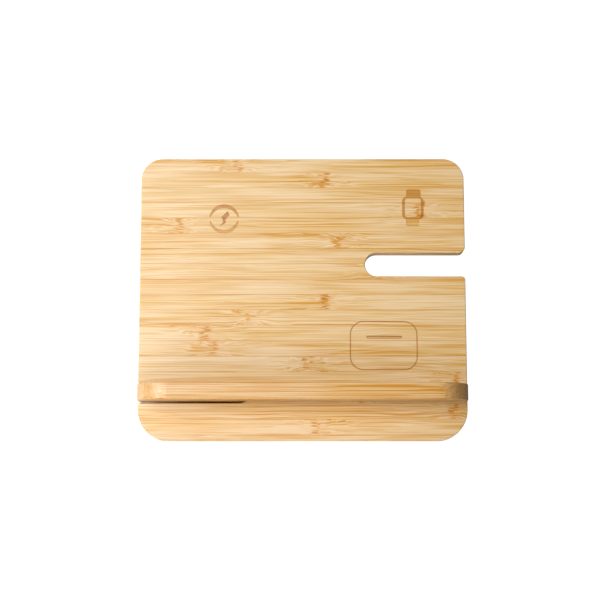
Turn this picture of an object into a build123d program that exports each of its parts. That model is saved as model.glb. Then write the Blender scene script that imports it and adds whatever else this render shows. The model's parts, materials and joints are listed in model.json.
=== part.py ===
from build123d import *
import os
from math import cos, radians, sin, sqrt, tan

# Charging stand of two bamboo boards that cross-lap at right angles.
# The panel leans back and holds three charging coils and their circuit behind a screwed cover.
# The cross board slides into the panel from the left: it is the ledge in front and the leg behind.
# X runs along the width, Y to the rear and Z up. The origin is on the table, under the middle.

# Boards
board_width = 200.0
board_thickness = 10.0
panel_height = 175.0
lean_angle = 25.0
top_corner_radius = 13.0
bottom_corner_radius = 19.5
edge_ease = 0.6

# Cross board
cross_board_level = 24.2  # its underside, up the panel's front face
ledge_reach = 22.0
leg_toe = 6.1  # how far the leg runs on past the line where its underside meets the table
cross_corner_radius = 19.5

# Cross-lap joint
lap_slot_length = 67.5
lap_gap = 0.3
lap_gap_below = 1.0
lap_mouth_radius = 1.5

# Slot for a watch band
band_slot_height = 14.6
band_slot_length = 61.6
band_slot_drop = 66.6  # its middle, below the panel's top edge
band_mouth_lower_radius = 2.3
band_mouth_upper_radius = 3.7

# Rear cover
cover_border = 5.0
cover_lift = 3.8  # above the cross board
cover_thickness = 1.6
cover_recess = 0.2
cover_gap = 0.2
cover_notch_margin = 4.0
cover_notch_radius = 3.0

# Cover screws
screw_shank_radius = 1.2
screw_head_radius = 2.4
screw_length = 6.5
screw_inset = 5.5
screw_gap = 0.15
pilot_gap = 0.1
head_angle = 90.0

# Pads
foot_length = 24.0
panel_foot_width = 6.0
leg_foot_width = 4.6
foot_thickness = 1.5
foot_proud = 0.5
foot_gap = 0.1
foot_inset = 40.0  # a pad's middle, from the board's side

# Coils and what lies behind them
skin = 2.0  # wood left in front of the coils
coil_thickness = 1.2
ferrite_thickness = 1.2
wire_width = 1.3
wire_pitch = 1.5
ferrite_margin = 0.8
coil_pocket_gap = 0.4
foam_share = 0.6
phone_inset = 51.3  # from the panel's left edge
phone_rise = 72.8  # above the ledge
phone_inner_radius = 10.5
phone_turns = 8
watch_inset = 31.5  # from the panel's right edge
watch_rise = 36.3  # above the middle of the band slot
watch_inner_radius = 6.5
watch_turns = 5
magnet_radius = 5.2
earbud_inset = 50.3  # from the panel's right edge
earbud_rise = 24.0  # above the ledge
earbud_inner_radius = 7.0
earbud_turns = 5

# Leads from the coils to the circuit
lead_diameter = 1.0
lead_pitch = 1.4
lead_gap = 0.1
channel_width = 3.2
solder_reach = 3.5
bend_radius = 5.0
watch_lead_x = 5.0
watch_lead_rise = 6.0  # above the middle of the circuit board

# Circuit board
pcb_width = 52.0
pcb_height = 26.0
pcb_thickness = 1.2
pcb_corner_radius = 2.0
pcb_gap = 0.5
pcb_inset = 7.5  # from the panel's left edge
pcb_rise = 27.8  # its middle, above the ledge
board_screw_radius = 0.95
board_screw_head_radius = 1.8
board_screw_head_height = 1.0
board_screw_inset = 3.0
board_screw_bite = 2.2
board_screw_gap = 0.15

# Inlet
shell_width = 8.94
shell_height = 3.26
shell_wall = 0.3
shell_length = 10.5
port_recess = 0.2
port_gap = 0.2
insulator_length = 4.4
insulator_gap = 0.04
tongue_width = 6.7
tongue_thickness = 0.7
tongue_recess = 0.6

# Parts on the circuit board
chip_side = 7.0
chip_height = 0.9
driver_width = 4.0
driver_length = 5.0
inductor_side = 6.4
inductor_gap = 0.3  # below the cover
inductor_corner_radius = 1.2
capacitor_length = 3.2
capacitor_width = 1.6
capacitor_height = 1.6
capacitor_pitch = 2.2
row_share = 0.31
inductor_share = 0.2
chip_share = 0.42
driver_share = 0.63
capacitor_share = 0.8

overrun = 1.0  # how far a cut runs on past the face that it leaves

# Places that follow from the sizes
lean = radians(lean_angle)
right_edge = board_width / 2
left_edge = -board_width / 2
ledge_level = cross_board_level + board_thickness
leg_end = cross_board_level / tan(lean) + leg_toe
foot_spacing = board_width - 2 * foot_inset
capacitor_spacing = capacitor_length + capacitor_pitch - capacitor_width

panel_up = Vector(0, sin(lean), cos(lean))
panel_out = Vector(0, -cos(lean), sin(lean))
ledge_front_y = cross_board_level * sin(lean) - ledge_reach * cos(lean)
panel_top_y = panel_height * sin(lean) + board_thickness * cos(lean)
panel_foot_y = -(ledge_front_y + panel_top_y) / 2
panel_plane = Plane(origin=(0, panel_foot_y, foot_proud), x_dir=(1, 0, 0), z_dir=panel_out)
floor_cut = Plane.XY.offset(foot_proud)

lap_slot_height = board_thickness + lap_gap + lap_gap_below
lap_slot_level = ledge_level + lap_gap - lap_slot_height / 2
lap_slot_end = left_edge + lap_slot_length
lap_width = board_thickness + 2 * lap_gap
band_slot_level = panel_height - band_slot_drop
band_slot_end = right_edge - band_slot_length

cover_inner_depth = board_thickness - cover_recess - cover_thickness
cover_outer_depth = board_thickness - cover_recess
cover_bottom = ledge_level + cover_lift
cover_top = panel_height - cover_border
cover_right = right_edge - cover_border
cover_radius = top_corner_radius - cover_border

lead_depth = skin + coil_thickness + lead_gap + lead_diameter / 2
pcb_depth = lead_depth + lead_diameter / 2 + lead_gap
pcb_rear_depth = pcb_depth + pcb_thickness
port_depth = pcb_depth + pcb_thickness / 2
foam_depth = skin + coil_thickness + ferrite_thickness

pcb_level = ledge_level + pcb_rise
pcb_left = left_edge + pcb_inset
pcb_right = pcb_left + pcb_width
pcb_x = pcb_left + pcb_width / 2
pcb_top = pcb_level + pcb_height / 2

phone_x = left_edge + phone_inset
watch_x = right_edge - watch_inset
earbud_x = right_edge - earbud_inset
phone_place = (phone_x, ledge_level + phone_rise)
watch_place = (watch_x, band_slot_level + watch_rise)
earbud_place = (earbud_x, ledge_level + earbud_rise)
left = Vector(-1, 0, 0)
down = panel_up * -1


def on_panel(x, height, depth):
    """Point at x and height on the panel, at a depth behind its front face."""
    return panel_plane.from_local_coords((x, height, -depth))


def layer(depth):
    """Plane parallel to the panel's front face, at a depth behind it."""
    return panel_plane.offset(-depth)


def rear_facing(x, height, depth):
    """Plane that looks out of the panel's back."""
    return Plane(origin=on_panel(x, height, depth), x_dir=(1, 0, 0), z_dir=panel_out * -1)


def coil_layer(place, exit_direction, depth):
    """Plane centred on a coil, with its x axis the way that the leads leave."""
    origin = on_panel(place[0], place[1], depth)
    return Plane(origin=origin, x_dir=exit_direction, z_dir=panel_out)


def winding_radius(inner_radius, turns):
    return inner_radius + turns * wire_pitch + wire_width / 2


def ferrite_radius(inner_radius, turns):
    return winding_radius(inner_radius, turns) + ferrite_margin


def cut_slot(end, mouth, level, height):
    """Slot with a round end at x = end, running out of the board's edge at x = mouth."""
    towards_mouth = 1 if mouth > end else -1
    arc_x = end + towards_mouth * height / 2
    with Locations((arc_x, level)):
        Circle(height / 2, mode=Mode.SUBTRACT)
    with Locations(((arc_x + mouth) / 2, level)):
        Rectangle(abs(mouth - arc_x), height, mode=Mode.SUBTRACT)


def draw_cover(sketch, growth):
    """Outline of the rear cover with its notch round the band slot, grown outwards."""
    notch_height = band_slot_height + 2 * cover_notch_margin
    notch_left = band_slot_end - cover_notch_margin
    with Locations((0, (cover_bottom + cover_top) / 2)):
        RectangleRounded(
            2 * (cover_right + growth),
            cover_top - cover_bottom + 2 * growth,
            cover_radius + growth,
        )
    with Locations((notch_left + growth, band_slot_level)):
        Rectangle(
            board_width,
            notch_height - 2 * growth,
            align=(Align.MIN, Align.CENTER),
            mode=Mode.SUBTRACT,
        )
    notch_span = (band_slot_level - notch_height, band_slot_level + notch_height)
    inner_corners = sketch.vertices().filter_by_position(Axis.Y, *notch_span).group_by(Axis.X)[0]
    fillet(inner_corners, cover_notch_radius - growth)
    mouth_corners = sketch.vertices().filter_by_position(Axis.Y, *notch_span).group_by(Axis.X)[-1]
    fillet(mouth_corners, cover_notch_radius + growth)


def wind(inner_radius, turns):
    """Flat spiral of half circles whose centres alternate between two points."""
    step = wire_pitch / 2
    for half_turn in range(2 * turns):
        side = half_turn % 2
        CenterArc((side * step, 0), inner_radius + half_turn * step, 180 * side, 180)


def cut_lead_slot(inner_radius, outer_radius):
    """Radial slot in a ferrite sheet, where the leads cross behind the winding."""
    slot_start = inner_radius - wire_width / 2
    with Locations((slot_start, 0)):
        Rectangle(
            outer_radius + overrun - slot_start,
            channel_width,
            align=(Align.MIN, Align.CENTER),
            mode=Mode.SUBTRACT,
        )


def watch_route(start_x, shift):
    """Corners of the watch coil's lead, shifted sideways to lie beside its pair."""
    height = watch_place[1] + shift
    landing = pcb_level + watch_lead_rise + shift
    riser_x = watch_lead_x - shift
    return [(start_x, height), (riser_x, height), (riser_x, landing), (pcb_right - solder_reach, landing)]


def watch_bends(shift):
    return [bend_radius + shift, bend_radius - shift]


def start_of(route):
    """Plane square to a route at its start."""
    return Plane(origin=route.line @ 0, z_dir=route.line % 0)


cover_screw_places = [
    (x, height)
    for x in (-cover_right + screw_inset, cover_right - screw_inset)
    for height in (cover_bottom + screw_inset, cover_top - screw_inset)
]
cover_screw_places += [(0, cover_bottom + screw_inset), (0, cover_top - screw_inset)]
notch_reach = band_slot_height / 2 + cover_notch_margin + screw_inset
cover_screw_places += [(cover_right - screw_inset, band_slot_level + side * notch_reach) for side in (-1, 1)]
cover_screw_places += [(-cover_right + screw_inset, band_slot_level)]

screw_spread = pcb_width / 2 - board_screw_inset
screw_rise = pcb_height / 2 - board_screw_inset
board_screw_places = [
    (pcb_x + side * screw_spread, pcb_level + rise * screw_rise) for side in (-1, 1) for rise in (-1, 1)
]

os.makedirs("parts", exist_ok=True)

# Leaning panel
with BuildPart() as main_panel:
    with BuildSketch(panel_plane) as outline:
        Rectangle(board_width, panel_height, align=(Align.CENTER, Align.MIN))
        fillet(outline.vertices().group_by(Axis.Y)[-1], top_corner_radius)
        fillet(outline.vertices().group_by(Axis.Y)[0], bottom_corner_radius)
        cut_slot(band_slot_end, right_edge, band_slot_level, band_slot_height)
        cut_slot(lap_slot_end, left_edge, lap_slot_level, lap_slot_height)
        fillet(outline.vertices().group_by(Axis.X)[-1].sort_by(Axis.Y)[1], band_mouth_lower_radius)
        fillet(outline.vertices().group_by(Axis.X)[-1].sort_by(Axis.Y)[2], band_mouth_upper_radius)
        fillet(outline.vertices().group_by(Axis.X)[0].sort_by(Axis.Y)[1:3], lap_mouth_radius)
    extrude(amount=-board_thickness)
    through = Axis((0, 0, 0), panel_out)
    faces = main_panel.faces().sort_by(through)
    fillet(faces[0].edges() + faces[-1].edges(), edge_ease)
    split(bisect_by=floor_cut)

    # Rebate for the cover and pockets for the coils
    with BuildSketch(layer(cover_inner_depth)) as rebate:
        draw_cover(rebate, cover_gap)
    extrude(amount=-(cover_thickness + cover_recess + overrun), mode=Mode.SUBTRACT)
    with BuildSketch(layer(skin)):
        with Locations(phone_place):
            Circle(ferrite_radius(phone_inner_radius, phone_turns) + coil_pocket_gap)
        with Locations(watch_place):
            Circle(ferrite_radius(watch_inner_radius, watch_turns) + coil_pocket_gap)
        with Locations(earbud_place):
            Circle(ferrite_radius(earbud_inner_radius, earbud_turns) + coil_pocket_gap)
    extrude(amount=-board_thickness, mode=Mode.SUBTRACT)

    # Pocket for the circuit board, and channels for the leads
    with BuildSketch(layer(pcb_depth)):
        with Locations((pcb_x, pcb_level)):
            RectangleRounded(pcb_width + 2 * pcb_gap, pcb_height + 2 * pcb_gap, pcb_corner_radius)
    extrude(amount=-board_thickness, mode=Mode.SUBTRACT)
    with BuildSketch(layer(skin + coil_thickness)):
        with BuildLine():
            Line(phone_place, (phone_x, pcb_top - solder_reach - lead_gap))
        trace(line_width=channel_width)
        with BuildLine():
            Line(earbud_place, (pcb_right - solder_reach - lead_gap, earbud_place[1]))
        trace(line_width=channel_width)
        with BuildLine():
            FilletPolyline(watch_route(watch_x, 0), radius=watch_bends(0))
        trace(line_width=channel_width)
    extrude(amount=-board_thickness, mode=Mode.SUBTRACT)

    # Inlet passage, screw holes and seats for the pads
    port_plane = Plane(origin=on_panel(left_edge, pcb_level, port_depth), x_dir=panel_up, z_dir=(1, 0, 0))
    with BuildSketch(port_plane):
        SlotOverall(shell_width + 2 * port_gap, shell_height + 2 * port_gap)
    extrude(amount=port_recess + shell_length + port_gap, mode=Mode.SUBTRACT)
    with Locations(*[rear_facing(x, height, cover_inner_depth) for x, height in cover_screw_places]):
        Hole(screw_shank_radius + pilot_gap, depth=screw_length - cover_thickness + pilot_gap)
    with Locations(*[rear_facing(x, height, pcb_depth) for x, height in board_screw_places]):
        Hole(board_screw_radius + pilot_gap, depth=board_screw_bite + pilot_gap)
    panel_sole = main_panel.faces().sort_by(Axis.Z)[0]
    panel_foot_centre = panel_sole.bounding_box().center().Y
    with BuildSketch(floor_cut):
        with Locations((0, panel_foot_centre)):
            with GridLocations(foot_spacing, foot_spacing, 2, 1):
                SlotOverall(foot_length + 2 * foot_gap, panel_foot_width + 2 * foot_gap)
    extrude(amount=foot_thickness - foot_proud, mode=Mode.SUBTRACT)

# Cross board: ledge in front of the panel, leg behind it
cross_plane = Plane(origin=on_panel(0, cross_board_level, 0), x_dir=(1, 0, 0), z_dir=panel_up)
with BuildPart() as cross_board:
    with BuildSketch(cross_plane) as plan:
        with Locations((0, (leg_end - ledge_reach) / 2)):
            RectangleRounded(board_width, ledge_reach + leg_end, cross_corner_radius)
        # The round ends of the two slots meet at the boards' edges with the running gap left
        panel_round = lap_slot_height / 2
        board_above_middle = ledge_level - lap_slot_level
        panel_chord = sqrt(panel_round**2 - board_above_middle**2)
        board_chord = sqrt((lap_width / 2) ** 2 - (board_thickness / 2) ** 2)
        lap_arc_x = lap_slot_end - panel_round + panel_chord + board_chord - lap_gap
        cut_slot(lap_arc_x - lap_width / 2, right_edge, board_thickness / 2, lap_width)
        fillet(plan.vertices().group_by(Axis.X)[-1].sort_by(Axis.Y)[1:3], lap_mouth_radius)
    extrude(amount=board_thickness)
    upright = Axis((0, 0, 0), panel_up)
    faces = cross_board.faces().sort_by(upright)
    fillet(faces[0].edges() + faces[-1].edges(), edge_ease)
    split(bisect_by=floor_cut)
    leg_sole = cross_board.faces().sort_by(Axis.Z)[0]
    leg_foot_centre = leg_sole.bounding_box().center().Y
    with BuildSketch(floor_cut):
        with Locations((0, leg_foot_centre)):
            with GridLocations(foot_spacing, foot_spacing, 2, 1):
                SlotOverall(foot_length + 2 * foot_gap, leg_foot_width + 2 * foot_gap)
    extrude(amount=foot_thickness - foot_proud, mode=Mode.SUBTRACT)

# Pads under the panel and the leg
with BuildPart() as panel_feet:
    with BuildSketch(Plane.XY):
        with Locations((0, panel_foot_centre)):
            with GridLocations(foot_spacing, foot_spacing, 2, 1):
                SlotOverall(foot_length, panel_foot_width)
    extrude(amount=foot_thickness)

with BuildPart() as leg_feet:
    with BuildSketch(Plane.XY):
        with Locations((0, leg_foot_centre)):
            with GridLocations(foot_spacing, foot_spacing, 2, 1):
                SlotOverall(foot_length, leg_foot_width)
    extrude(amount=foot_thickness)

# Rear cover and its screws
with BuildPart() as rear_cover:
    with BuildSketch(layer(cover_inner_depth)) as cover_outline:
        draw_cover(cover_outline, 0)
    extrude(amount=-cover_thickness)
    with Locations(*[rear_facing(x, height, cover_outer_depth) for x, height in cover_screw_places]):
        CounterSinkHole(
            screw_shank_radius + screw_gap,
            screw_head_radius + screw_gap,
            depth=cover_thickness + overrun,
            counter_sink_angle=head_angle,
        )

with BuildPart() as cover_screws:
    head_height = (screw_head_radius - screw_shank_radius) / tan(radians(head_angle / 2))
    with Locations(*[rear_facing(x, height, cover_outer_depth) for x, height in cover_screw_places]):
        Cone(
            screw_shank_radius,
            screw_head_radius,
            head_height,
            align=(Align.CENTER, Align.CENTER, Align.MAX),
        )
        Cylinder(screw_shank_radius, screw_length, align=(Align.CENTER, Align.CENTER, Align.MAX))

# Windings
with BuildPart() as phone_coil:
    with BuildSketch(coil_layer(phone_place, down, skin)):
        with BuildLine():
            wind(phone_inner_radius, phone_turns)
        trace(line_width=wire_width)
    extrude(amount=-coil_thickness)

with BuildPart() as watch_coil:
    with BuildSketch(coil_layer(watch_place, left, skin)):
        with BuildLine():
            wind(watch_inner_radius, watch_turns)
        trace(line_width=wire_width)
    extrude(amount=-coil_thickness)

with BuildPart() as earbud_coil:
    with BuildSketch(coil_layer(earbud_place, left, skin)):
        with BuildLine():
            wind(earbud_inner_radius, earbud_turns)
        trace(line_width=wire_width)
    extrude(amount=-coil_thickness)

# Ferrite sheets behind the windings
with BuildPart() as phone_ferrite:
    with BuildSketch(coil_layer(phone_place, down, skin + coil_thickness)):
        Circle(ferrite_radius(phone_inner_radius, phone_turns))
        cut_lead_slot(phone_inner_radius, ferrite_radius(phone_inner_radius, phone_turns))
    extrude(amount=-ferrite_thickness)

with BuildPart() as watch_ferrite:
    with BuildSketch(coil_layer(watch_place, left, skin + coil_thickness)):
        Circle(ferrite_radius(watch_inner_radius, watch_turns))
        Circle(watch_inner_radius - wire_width / 2, mode=Mode.SUBTRACT)
        cut_lead_slot(0, ferrite_radius(watch_inner_radius, watch_turns))
    extrude(amount=-ferrite_thickness)

with BuildPart() as earbud_ferrite:
    with BuildSketch(coil_layer(earbud_place, left, skin + coil_thickness)):
        Circle(ferrite_radius(earbud_inner_radius, earbud_turns))
        cut_lead_slot(earbud_inner_radius, ferrite_radius(earbud_inner_radius, earbud_turns))
    extrude(amount=-ferrite_thickness)

with BuildPart() as watch_magnet:
    with BuildSketch(coil_layer(watch_place, left, skin)):
        Circle(magnet_radius)
    extrude(amount=-(coil_thickness + ferrite_thickness))

# Foam between the ferrites and the cover
with BuildPart() as coil_foam_pads:
    with BuildSketch(layer(foam_depth)):
        with Locations(phone_place):
            Circle(foam_share * ferrite_radius(phone_inner_radius, phone_turns))
        with Locations(watch_place):
            Circle(foam_share * ferrite_radius(watch_inner_radius, watch_turns))
        with Locations(earbud_place):
            Circle(foam_share * ferrite_radius(earbud_inner_radius, earbud_turns))
    extrude(amount=-(cover_inner_depth - foam_depth))

# Leads: the first of each pair comes from inside the winding, the second from its outside
with BuildPart() as phone_coil_leads:
    for shift, winding_x in (
        (lead_pitch / 2, phone_inner_radius),
        (-lead_pitch / 2, phone_inner_radius + phone_turns * wire_pitch),
    ):
        with BuildLine(layer(lead_depth)) as route:
            start = phone_place[1] - winding_x + wire_width / 2
            Line((phone_x + shift, start), (phone_x + shift, pcb_top - solder_reach))
        with BuildSketch(start_of(route)):
            Circle(lead_diameter / 2)
        sweep()

with BuildPart() as watch_coil_leads:
    for shift, winding_x in (
        (-lead_pitch / 2, watch_inner_radius),
        (lead_pitch / 2, watch_inner_radius + watch_turns * wire_pitch),
    ):
        with BuildLine(layer(lead_depth)) as route:
            start = watch_x - winding_x + wire_width / 2
            FilletPolyline(watch_route(start, shift), radius=watch_bends(shift))
        with BuildSketch(start_of(route)):
            Circle(lead_diameter / 2)
        sweep()

with BuildPart() as earbud_coil_leads:
    for shift, winding_x in (
        (-lead_pitch / 2, earbud_inner_radius),
        (lead_pitch / 2, earbud_inner_radius + earbud_turns * wire_pitch),
    ):
        with BuildLine(layer(lead_depth)) as route:
            start = earbud_x - winding_x + wire_width / 2
            height = earbud_place[1] + shift
            Line((start, height), (pcb_right - solder_reach, height))
        with BuildSketch(start_of(route)):
            Circle(lead_diameter / 2)
        sweep()

# Circuit board and its screws
with BuildPart() as main_board:
    with BuildSketch(layer(pcb_depth)):
        with Locations((pcb_x, pcb_level)):
            RectangleRounded(pcb_width, pcb_height, pcb_corner_radius)
        with Locations((pcb_left, pcb_level)):
            Rectangle(
                left_edge + port_recess + shell_length + port_gap - pcb_left,
                shell_width + 2 * port_gap,
                align=(Align.MIN, Align.CENTER),
                mode=Mode.SUBTRACT,
            )
        with Locations(*board_screw_places):
            Circle(board_screw_radius + board_screw_gap, mode=Mode.SUBTRACT)
    extrude(amount=-pcb_thickness)

with BuildPart() as board_screws:
    with Locations(*[rear_facing(x, height, pcb_rear_depth) for x, height in board_screw_places]):
        Cylinder(
            board_screw_head_radius,
            board_screw_head_height,
            align=(Align.CENTER, Align.CENTER, Align.MIN),
        )
        Cylinder(
            board_screw_radius,
            pcb_thickness + board_screw_bite,
            align=(Align.CENTER, Align.CENTER, Align.MAX),
        )

# Inlet: metal shell, and the insulator with its contact tongue
with BuildPart() as usb_c_shell:
    with BuildSketch(port_plane.offset(port_recess)):
        SlotOverall(shell_width, shell_height)
        SlotOverall(shell_width - 2 * shell_wall, shell_height - 2 * shell_wall, mode=Mode.SUBTRACT)
    extrude(amount=shell_length)

with BuildPart() as usb_c_tongue:
    inner_gap = shell_wall + insulator_gap
    with BuildSketch(port_plane.offset(port_recess + shell_length - insulator_length)):
        SlotOverall(shell_width - 2 * inner_gap, shell_height - 2 * inner_gap)
    extrude(amount=insulator_length)
    with BuildSketch(port_plane.offset(port_recess + tongue_recess)):
        Rectangle(tongue_width, tongue_thickness)
    extrude(amount=shell_length - tongue_recess - insulator_length)

# Parts soldered to the back of the circuit board
with BuildPart() as controller_chip:
    with BuildSketch(layer(pcb_rear_depth)):
        with Locations((pcb_left + chip_share * pcb_width, pcb_level)):
            Rectangle(chip_side, chip_side)
    extrude(amount=-chip_height)

with BuildPart() as driver_chips:
    with BuildSketch(layer(pcb_rear_depth)):
        with Locations((pcb_left + driver_share * pcb_width, pcb_level)):
            with GridLocations(pcb_width, row_share * pcb_height, 1, 3):
                Rectangle(driver_width, driver_length)
    extrude(amount=-chip_height)

with BuildPart() as power_inductors:
    with BuildSketch(layer(pcb_rear_depth)):
        with Locations((pcb_left + inductor_share * pcb_width, pcb_level)):
            with GridLocations(pcb_width, row_share * pcb_height, 1, 3):
                RectangleRounded(inductor_side, inductor_side, inductor_corner_radius)
    extrude(amount=-(cover_inner_depth - inductor_gap - pcb_rear_depth))

with BuildPart() as resonance_capacitors:
    with BuildSketch(layer(pcb_rear_depth)):
        with Locations((pcb_left + capacitor_share * pcb_width, pcb_level)):
            with GridLocations(pcb_width, row_share * pcb_height, 1, 3):
                with GridLocations(capacitor_spacing, capacitor_pitch, 2, 2):
                    Rectangle(capacitor_length, capacitor_width)
    extrude(amount=-capacitor_height)

main_panel.part.label = "main_panel"
export_step(main_panel.part, "parts/main_panel.step")
cross_board.part.label = "cross_board"
export_step(cross_board.part, "parts/cross_board.step")
panel_feet.part.label = "panel_feet"
export_step(panel_feet.part, "parts/panel_feet.step")
leg_feet.part.label = "leg_feet"
export_step(leg_feet.part, "parts/leg_feet.step")
rear_cover.part.label = "rear_cover"
export_step(rear_cover.part, "parts/rear_cover.step")
cover_screws.part.label = "cover_screws"
export_step(cover_screws.part, "parts/cover_screws.step")
phone_coil.part.label = "phone_coil"
export_step(phone_coil.part, "parts/phone_coil.step")
watch_coil.part.label = "watch_coil"
export_step(watch_coil.part, "parts/watch_coil.step")
earbud_coil.part.label = "earbud_coil"
export_step(earbud_coil.part, "parts/earbud_coil.step")
phone_ferrite.part.label = "phone_ferrite"
export_step(phone_ferrite.part, "parts/phone_ferrite.step")
watch_ferrite.part.label = "watch_ferrite"
export_step(watch_ferrite.part, "parts/watch_ferrite.step")
earbud_ferrite.part.label = "earbud_ferrite"
export_step(earbud_ferrite.part, "parts/earbud_ferrite.step")
watch_magnet.part.label = "watch_magnet"
export_step(watch_magnet.part, "parts/watch_magnet.step")
coil_foam_pads.part.label = "coil_foam_pads"
export_step(coil_foam_pads.part, "parts/coil_foam_pads.step")
phone_coil_leads.part.label = "phone_coil_leads"
export_step(phone_coil_leads.part, "parts/phone_coil_leads.step")
watch_coil_leads.part.label = "watch_coil_leads"
export_step(watch_coil_leads.part, "parts/watch_coil_leads.step")
earbud_coil_leads.part.label = "earbud_coil_leads"
export_step(earbud_coil_leads.part, "parts/earbud_coil_leads.step")
main_board.part.label = "main_board"
export_step(main_board.part, "parts/main_board.step")
board_screws.part.label = "board_screws"
export_step(board_screws.part, "parts/board_screws.step")
usb_c_shell.part.label = "usb_c_shell"
export_step(usb_c_shell.part, "parts/usb_c_shell.step")
usb_c_tongue.part.label = "usb_c_tongue"
export_step(usb_c_tongue.part, "parts/usb_c_tongue.step")
controller_chip.part.label = "controller_chip"
export_step(controller_chip.part, "parts/controller_chip.step")
driver_chips.part.label = "driver_chips"
export_step(driver_chips.part, "parts/driver_chips.step")
power_inductors.part.label = "power_inductors"
export_step(power_inductors.part, "parts/power_inductors.step")
resonance_capacitors.part.label = "resonance_capacitors"
export_step(resonance_capacitors.part, "parts/resonance_capacitors.step")
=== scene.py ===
import json
import random
from math import asin, cos, degrees, pi, radians, sin

import bmesh
import bpy
from mathutils import Matrix, Vector

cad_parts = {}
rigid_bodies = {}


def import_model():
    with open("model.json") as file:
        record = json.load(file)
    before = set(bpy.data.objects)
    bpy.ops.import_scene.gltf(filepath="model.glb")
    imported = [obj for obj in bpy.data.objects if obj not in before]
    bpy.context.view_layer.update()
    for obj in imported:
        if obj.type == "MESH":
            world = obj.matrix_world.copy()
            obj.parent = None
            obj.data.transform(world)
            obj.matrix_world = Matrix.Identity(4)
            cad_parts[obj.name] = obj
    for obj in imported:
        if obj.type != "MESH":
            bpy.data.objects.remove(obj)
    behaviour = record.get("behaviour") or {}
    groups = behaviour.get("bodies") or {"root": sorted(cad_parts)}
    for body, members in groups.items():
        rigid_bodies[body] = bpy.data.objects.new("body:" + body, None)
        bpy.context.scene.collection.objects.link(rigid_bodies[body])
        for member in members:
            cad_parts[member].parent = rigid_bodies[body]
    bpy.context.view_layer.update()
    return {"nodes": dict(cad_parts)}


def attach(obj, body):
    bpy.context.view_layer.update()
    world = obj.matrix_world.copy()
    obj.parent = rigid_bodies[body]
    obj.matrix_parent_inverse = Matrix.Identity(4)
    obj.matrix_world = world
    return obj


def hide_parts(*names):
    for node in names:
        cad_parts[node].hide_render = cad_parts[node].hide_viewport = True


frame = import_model()
nodes = frame["nodes"]
scene = bpy.context.scene

# The stand's own measures, in millimetres; on_panel turns them into metres
MM = 0.001
LEAN = radians(25.0)
RIGHT = Vector((1, 0, 0))
PANEL_UP = Vector((0, sin(LEAN), cos(LEAN)))
PANEL_OUT = Vector((0, -cos(LEAN), sin(LEAN)))
PANEL_FOOT = Vector((0, -36.655, 0.5))  # middle of the front face's lower edge
CROSS_LEVEL = 24.2  # underside of the cross board, up the panel
LEDGE_REACH = 22.0
COVER_BACK = 9.8  # the rear cover's outer face, behind the panel's front
BOARD_BACK = 5.6  # the circuit board's rear face, behind the panel's front
BOARD_X, BOARD_UP = -66.5, 62.0  # the circuit board's middle
PORT_BACK = 5.0  # the inlet's middle, behind the panel's front
BAND_SLOT_UP = 108.4


def on_panel(x, up, out):
    """Point in metres, from millimetres along, up and out of the panel's front face."""
    return (PANEL_FOOT + RIGHT * x + PANEL_UP * up + PANEL_OUT * out) * MM


# Objects and meshes
def added(name, data, collection=scene.collection):
    """New object, linked into a collection."""
    piece = bpy.data.objects.new(name, data)
    collection.objects.link(piece)
    return piece


def mesh_from(name, bm):
    """New mesh with what a bmesh holds; the bmesh is freed."""
    mesh = bpy.data.meshes.new(name)
    bm.to_mesh(mesh)
    bm.free()
    return mesh


def skin(name, rings, walls=None):
    """Mesh of walls between rings of points, each wall given as a pair of rings.

    Without a list of walls, each ring is joined to the next one and a face closes both ends.
    """
    bm = bmesh.new()
    loops = [[bm.verts.new(point) for point in ring] for ring in rings]
    pairs = walls or [(index, index + 1) for index in range(len(rings) - 1)]
    for i in range(len(rings[0])):
        j = (i + 1) % len(rings[0])
        for first, second in pairs:
            upper, lower = loops[first], loops[second]
            bm.faces.new((upper[i], upper[j], lower[j], lower[i]))
    if not walls:
        bm.faces.new(loops[0])
        bm.faces.new(loops[-1])
    bmesh.ops.recalc_face_normals(bm, faces=bm.faces)
    return mesh_from(name, bm)


def cut_away(piece, **tool):
    """Takes an object or collection, named by the modifier's settings, off a piece for good."""
    cut = piece.modifiers.new("cut", "BOOLEAN")
    cut.operation = "DIFFERENCE"
    cut.solver = "EXACT"
    for key, value in tool.items():
        setattr(cut, key, value)
    graph = bpy.context.evaluated_depsgraph_get()
    mesh = bpy.data.meshes.new_from_object(piece.evaluated_get(graph), depsgraph=graph)
    piece.modifiers.clear()
    piece.data = mesh


# Camera: it looks straight back and a little down, at a point on the panel's front
CAMERA_LENS = 81.6
CAMERA_SENSOR = 36.0
CAMERA_ELEVATION = radians(16.6)
CAMERA_DISTANCE = 0.8333
CAMERA_AIM = (-1.6, 86.3)  # along and up the panel

camera_data = bpy.data.cameras.new("camera")
camera_data.lens = CAMERA_LENS
camera_data.sensor_width = CAMERA_SENSOR
camera = added("camera", camera_data)
backwards = Vector((0, -cos(CAMERA_ELEVATION), sin(CAMERA_ELEVATION)))
camera.location = on_panel(*CAMERA_AIM, 0) + CAMERA_DISTANCE * backwards
camera.rotation_euler = (pi / 2 - CAMERA_ELEVATION, 0, 0)
bpy.context.scene.camera = camera


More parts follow.
